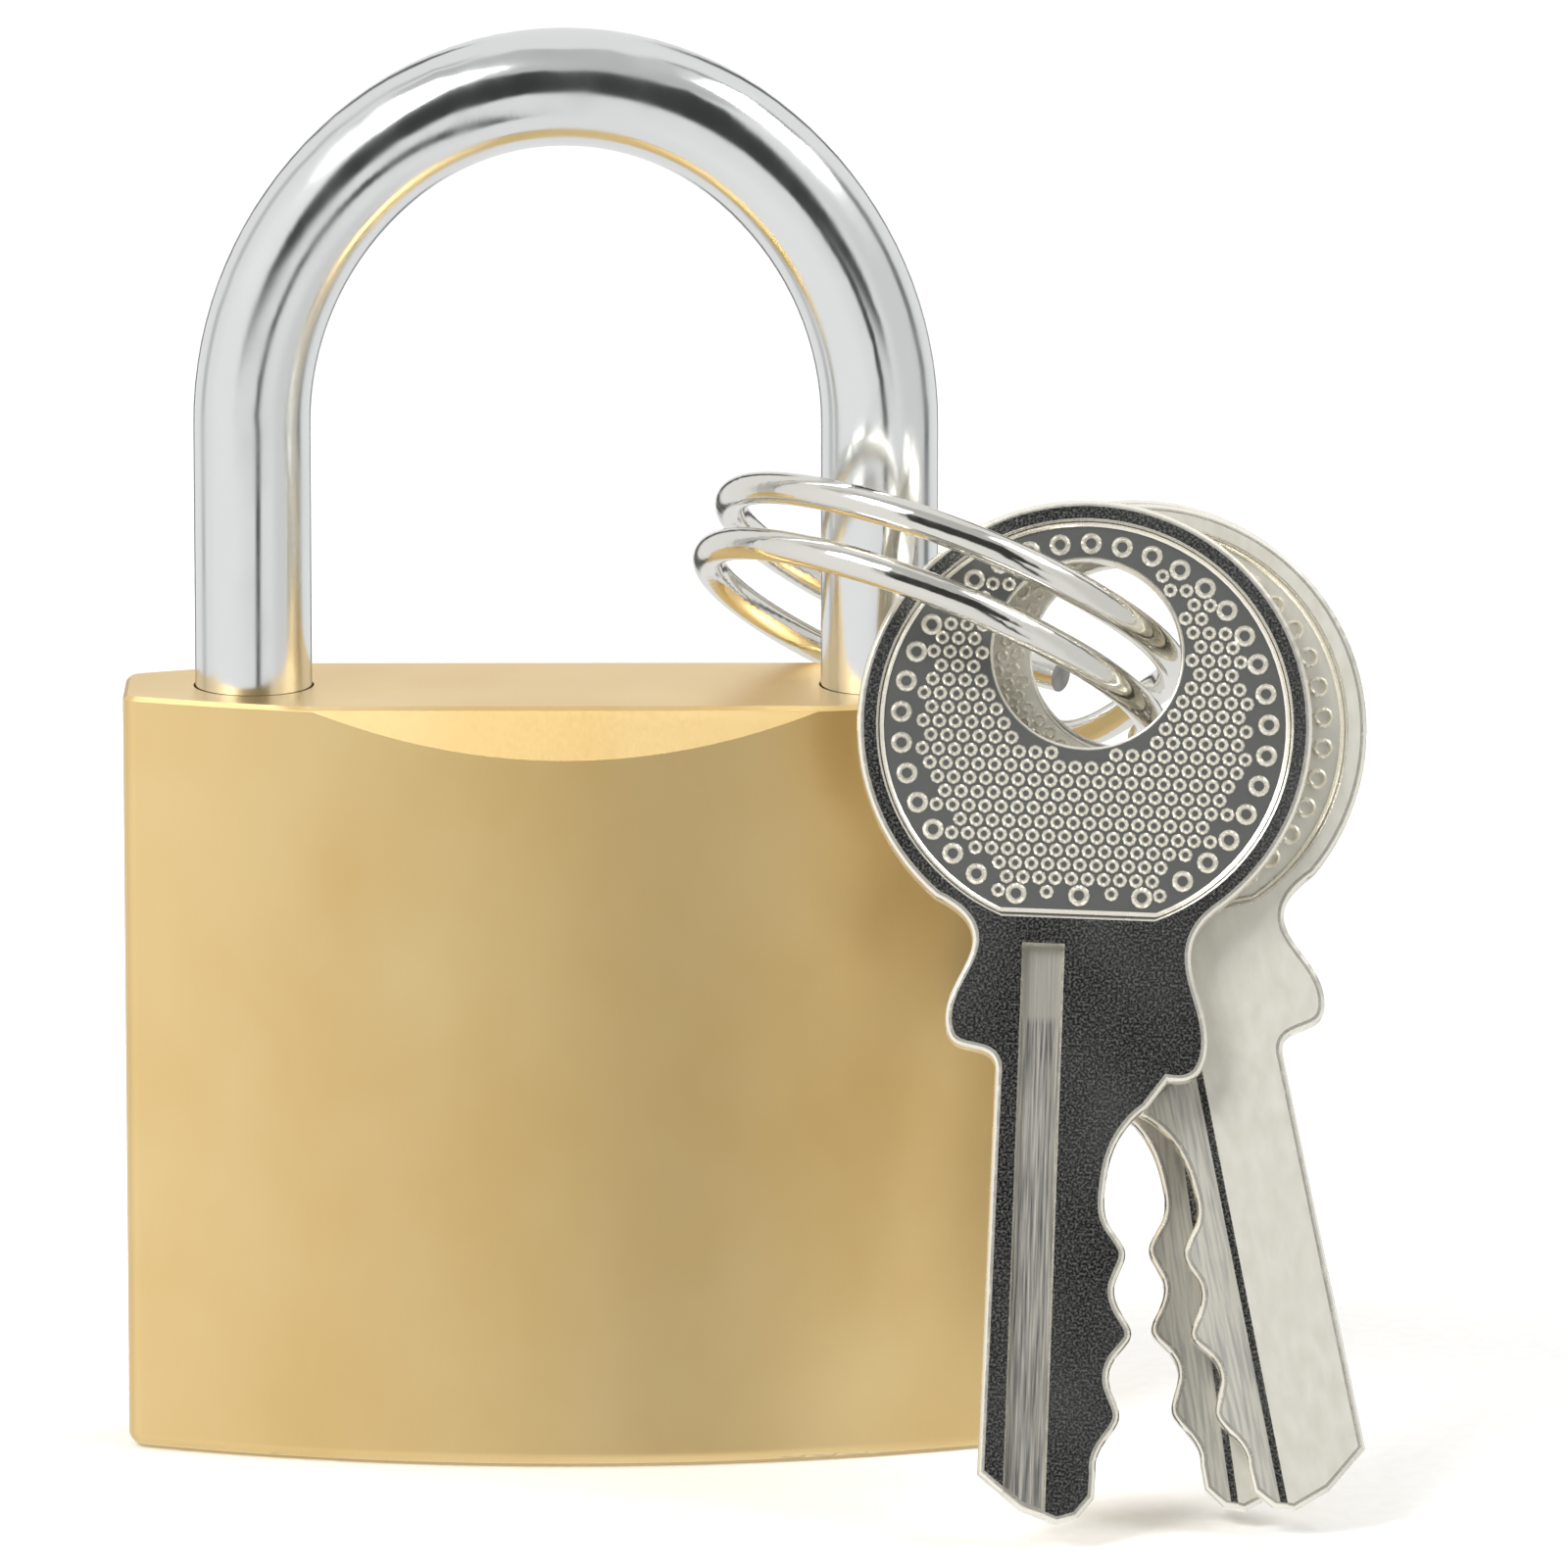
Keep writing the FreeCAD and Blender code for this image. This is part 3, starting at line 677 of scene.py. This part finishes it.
def pale_floor(stage):
    """Plain pale floor that shows in no reflection and throws no shadow."""
    bm = bmesh.new()
    bmesh.ops.create_grid(bm, x_segments=1, y_segments=1, size=stage.floor_half,
                          matrix=Matrix.Translation((0, 0, -FLOOR_GAP)))
    mesh = bpy.data.meshes.new("floor")
    bm.to_mesh(mesh)
    bm.free()
    material, tree, shader = new_material("pale studio paper", PAPER, 0.0, 0.9)
    fibre = pattern(tree, (0.8 * MM, 0.8 * MM, 0.8 * MM))
    feed(tree, shader, {"Base Color": tinted(tree, fibre, PAPER_DARK, PAPER_LIGHT)})
    mesh.materials.append(material)
    floor = bpy.data.objects.new("floor", mesh)
    floor.visible_glossy = False
    floor.visible_shadow = False
    bpy.context.scene.collection.objects.link(floor)
    floor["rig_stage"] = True


def make_camera(stage):
    """Long lens from the front, a little above."""
    data = bpy.data.cameras.new("camera")
    data.sensor_width = 36.0
    data.lens = stage.lens
    data.clip_start = 0.01
    camera = bpy.data.objects.new("camera", data)
    camera.location = stage.camera_place
    camera.rotation_euler = (math.pi / 2 - stage.camera_pitch, 0.0, -stage.camera_yaw)
    bpy.context.scene.collection.objects.link(camera)
    bpy.context.scene.camera = camera


# ---------------------------------------------------------------- properties

def colour_property(name, description, code):
    """Colour that a user may change, from its hex code."""
    return FloatVectorProperty(name=name, description=description, subtype="COLOR", size=3,
                               min=0.0, max=1.0, default=linear(code))


def length_property(name, description, millimetres):
    """Length that a user may change."""
    return FloatProperty(name=name, description=description, unit="LENGTH", subtype="DISTANCE",
                         default=millimetres * MM, precision=5)


class PadlockFinish(bpy.types.PropertyGroup):
    """Colours of the metals"""
    brass: colour_property("Brass", "Paler gold of the case", "F5D89C")
    brass_deep: colour_property("Deep brass", "Deeper gold of the case and the inner brass", "EDCB88")
    chrome: colour_property("Chromium", "Shackle", "E7E9E9")
    nickel: colour_property("Nickel", "Split ring and bright specks", "E6E4DD")
    steel: colour_property("Steel", "Springs, pins and bolt", "B9BBBD")
    # Painted reflection: a key's grooved side gets a dark base that stands for the dark surroundings it
    # reflects
    key_painted_dark: colour_property("Dark stamped nickel", "Darker parts of a key's grooved side", "3A3B3C")
    key_grey: colour_property("Grey nickel", "Greyer parts of a key's grooved side", "7A7B7C")
    key_pale: colour_property("Pale nickel", "A key's plain side", "D8D5C9")
    key_rim: colour_property("Nickel edge", "Rounded edges of a key", "F3EFE3")
    groove: colour_property("Groove", "Milled groove of a key", "B4B3AE")
    field: colour_property("Field", "Floor between the stamped rings", "7C7C77")


class PadlockKeys(bpy.types.PropertyGroup):
    """Sizes of the keys' detail"""
    rim: length_property("Outline", "Rounding of a key's outline", 0.3)
    hole_rim: length_property("Hole", "Rounding of the hole's edge", 0.14)
    step_rim: length_property("Field edge", "Rounding of the edge round a field", 0.06)
    # Painted highlight: width of the bright strip along a groove's walls
    groove_highlight_width: length_property("Groove line", "Width of the bright line along a groove", 0.09)
    # Painted shade: width of the dark strip beside a rebate's step
    rebate_shade_width: length_property("Rebate line", "Width of the dark line along a rebate", 0.3)
    line_half: length_property("Line", "Half width of the raised line round the field", 0.11)
    row_radius: length_property("Row", "Radius of the row of large rings", 8.2)
    large_pitch: length_property("Large pitch", "Spacing of the large rings", 1.4)
    small_pitch: length_property("Small pitch", "Spacing of the small rings", 0.72)


class PadlockStage(bpy.types.PropertyGroup):
    """Camera, floor and surroundings"""
    lens: FloatProperty(name="Lens", description="Focal length", default=344.76,
                        subtype="DISTANCE_CAMERA")
    camera_place: FloatVectorProperty(name="Camera", description="Place of the camera", size=3,
                                      subtype="TRANSLATION", unit="LENGTH",
                                      default=(0.007281, -0.666589, 0.166911))
    camera_pitch: FloatProperty(name="Pitch", description="How far the camera looks down",
                                subtype="ANGLE", unit="ROTATION", default=math.radians(11.591))
    camera_yaw: FloatProperty(name="Yaw", description="How far the camera looks to the right",
                              subtype="ANGLE", unit="ROTATION", default=math.radians(0.220))
    floor_half: FloatProperty(name="Floor", description="Half the floor's width", unit="LENGTH",
                              subtype="DISTANCE", default=1.5)
    white: FloatProperty(name="White", description="Level of the backdrop", default=1.0)


# ---------------------------------------------------------------- operators

class PADLOCK_OT_case(bpy.types.Operator):
    """Lacquered brass case and its plugs"""
    bl_idname = "padlock.case"
    bl_label = "Case"

    def execute(self, context):
        brass = lacquered_brass(context.scene.padlock_finish)
        finish_piece(joined_copy("case"), "brass_case", [brass], "case")
        coat(["bolt_channel_plug"] + numbered("chamber_plug"), brass)
        return {"FINISHED"}


class PADLOCK_OT_works(bpy.types.Operator):
    """Plug, pins, springs and bolt inside the case"""
    bl_idname = "padlock.works"
    bl_label = "Works"

    def execute(self, context):
        finish = context.scene.padlock_finish
        brass, steel = turned_brass(finish), spring_steel(finish)
        finish_piece(joined_copy("plug"), "turned_plug", [brass], "plug")
        coat(["bolt_driver"] + numbered("key_pin", "driver_pin"), brass)
        coat(["bolt", "drive_pin", "shackle_spring", "plug_retaining_pin", "shackle_retaining_pin"]
             + numbered("pin_spring"), steel)
        return {"FINISHED"}


class PADLOCK_OT_shackle(bpy.types.Operator):
    """Plated shackle"""
    bl_idname = "padlock.shackle"
    bl_label = "Shackle"

    def execute(self, context):
        plating = plated_steel(context.scene.padlock_finish)
        finish_piece(joined_copy("shackle"), "plated_shackle", [plating], "shackle")
        return {"FINISHED"}


class PADLOCK_OT_ring(bpy.types.Operator):
    """Split ring"""
    bl_idname = "padlock.ring"
    bl_label = "Split ring"

    def execute(self, context):
        nickel = nickel_wire(context.scene.padlock_finish)
        finish_piece(joined_copy("split_ring"), "nickel_split_ring", [nickel], "split_ring")
        return {"FINISHED"}


class PADLOCK_OT_keys(bpy.types.Operator):
    """Stamped and milled keys"""
    bl_idname = "padlock.keys"
    bl_label = "Keys"

    def execute(self, context):
        finish = context.scene.padlock_finish
        materials = [speckled_nickel(finish), pale_nickel(finish), rim_nickel(finish),
                     milled_groove(finish), sunk_field(finish), milled_rebate(finish)]
        relief = stamped_relief(context.scene.padlock_keys)
        for node in KEY_PLACES:
            make_key(node, context.scene.padlock_keys, relief, materials)
        bpy.data.meshes.remove(relief)
        return {"FINISHED"}


class PADLOCK_OT_stage(bpy.types.Operator):
    """Floor, light and camera"""
    bl_idname = "padlock.stage"
    bl_label = "Stage"

    def execute(self, context):
        stage = context.scene.padlock_stage
        context.scene.view_settings.view_transform = "Standard"
        studio_world(stage)
        pale_floor(stage)
        for name, place, size, power in SOFTBOXES:
            softbox(name, place, size, power)
        make_camera(stage)
        return {"FINISHED"}


class PADLOCK_PT_sidebar(bpy.types.Panel):
    """Lists what builds the padlock"""
    bl_idname = "PADLOCK_PT_sidebar"
    bl_label = "Padlock"
    bl_space_type = "VIEW_3D"
    bl_region_type = "UI"
    bl_category = "Padlock"

    def draw(self, context):
        for operator in OPERATORS:
            self.layout.operator(operator.bl_idname)
        for group in GROUPS:
            for name in GROUPS[group].__annotations__:
                self.layout.prop(getattr(context.scene, group), name)


GROUPS = {"padlock_finish": PadlockFinish, "padlock_keys": PadlockKeys, "padlock_stage": PadlockStage}
OPERATORS = (PADLOCK_OT_stage, PADLOCK_OT_case, PADLOCK_OT_works, PADLOCK_OT_shackle,
             PADLOCK_OT_ring, PADLOCK_OT_keys)


def register():
    """Adds the settings, the operators and the panel."""
    for group, kind in GROUPS.items():
        bpy.utils.register_class(kind)
        setattr(bpy.types.Scene, group, PointerProperty(type=kind))
    for kind in OPERATORS + (PADLOCK_PT_sidebar,):
        bpy.utils.register_class(kind)


def unregister():
    """Takes them away again."""
    for kind in (PADLOCK_PT_sidebar,) + OPERATORS[::-1]:
        bpy.utils.unregister_class(kind)
    for group, kind in GROUPS.items():
        delattr(bpy.types.Scene, group)
        bpy.utils.unregister_class(kind)


def corners():
    """The shown object's lowest and highest corner as plain lists."""
    return [list(corner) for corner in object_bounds()]


def main():
    """Makes everything in order."""
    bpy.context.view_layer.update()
    register()
    for operator in OPERATORS:
        group, name = operator.bl_idname.split(".")
        getattr(getattr(bpy.ops, group), name)()


if __name__ == "__main__":
    main()
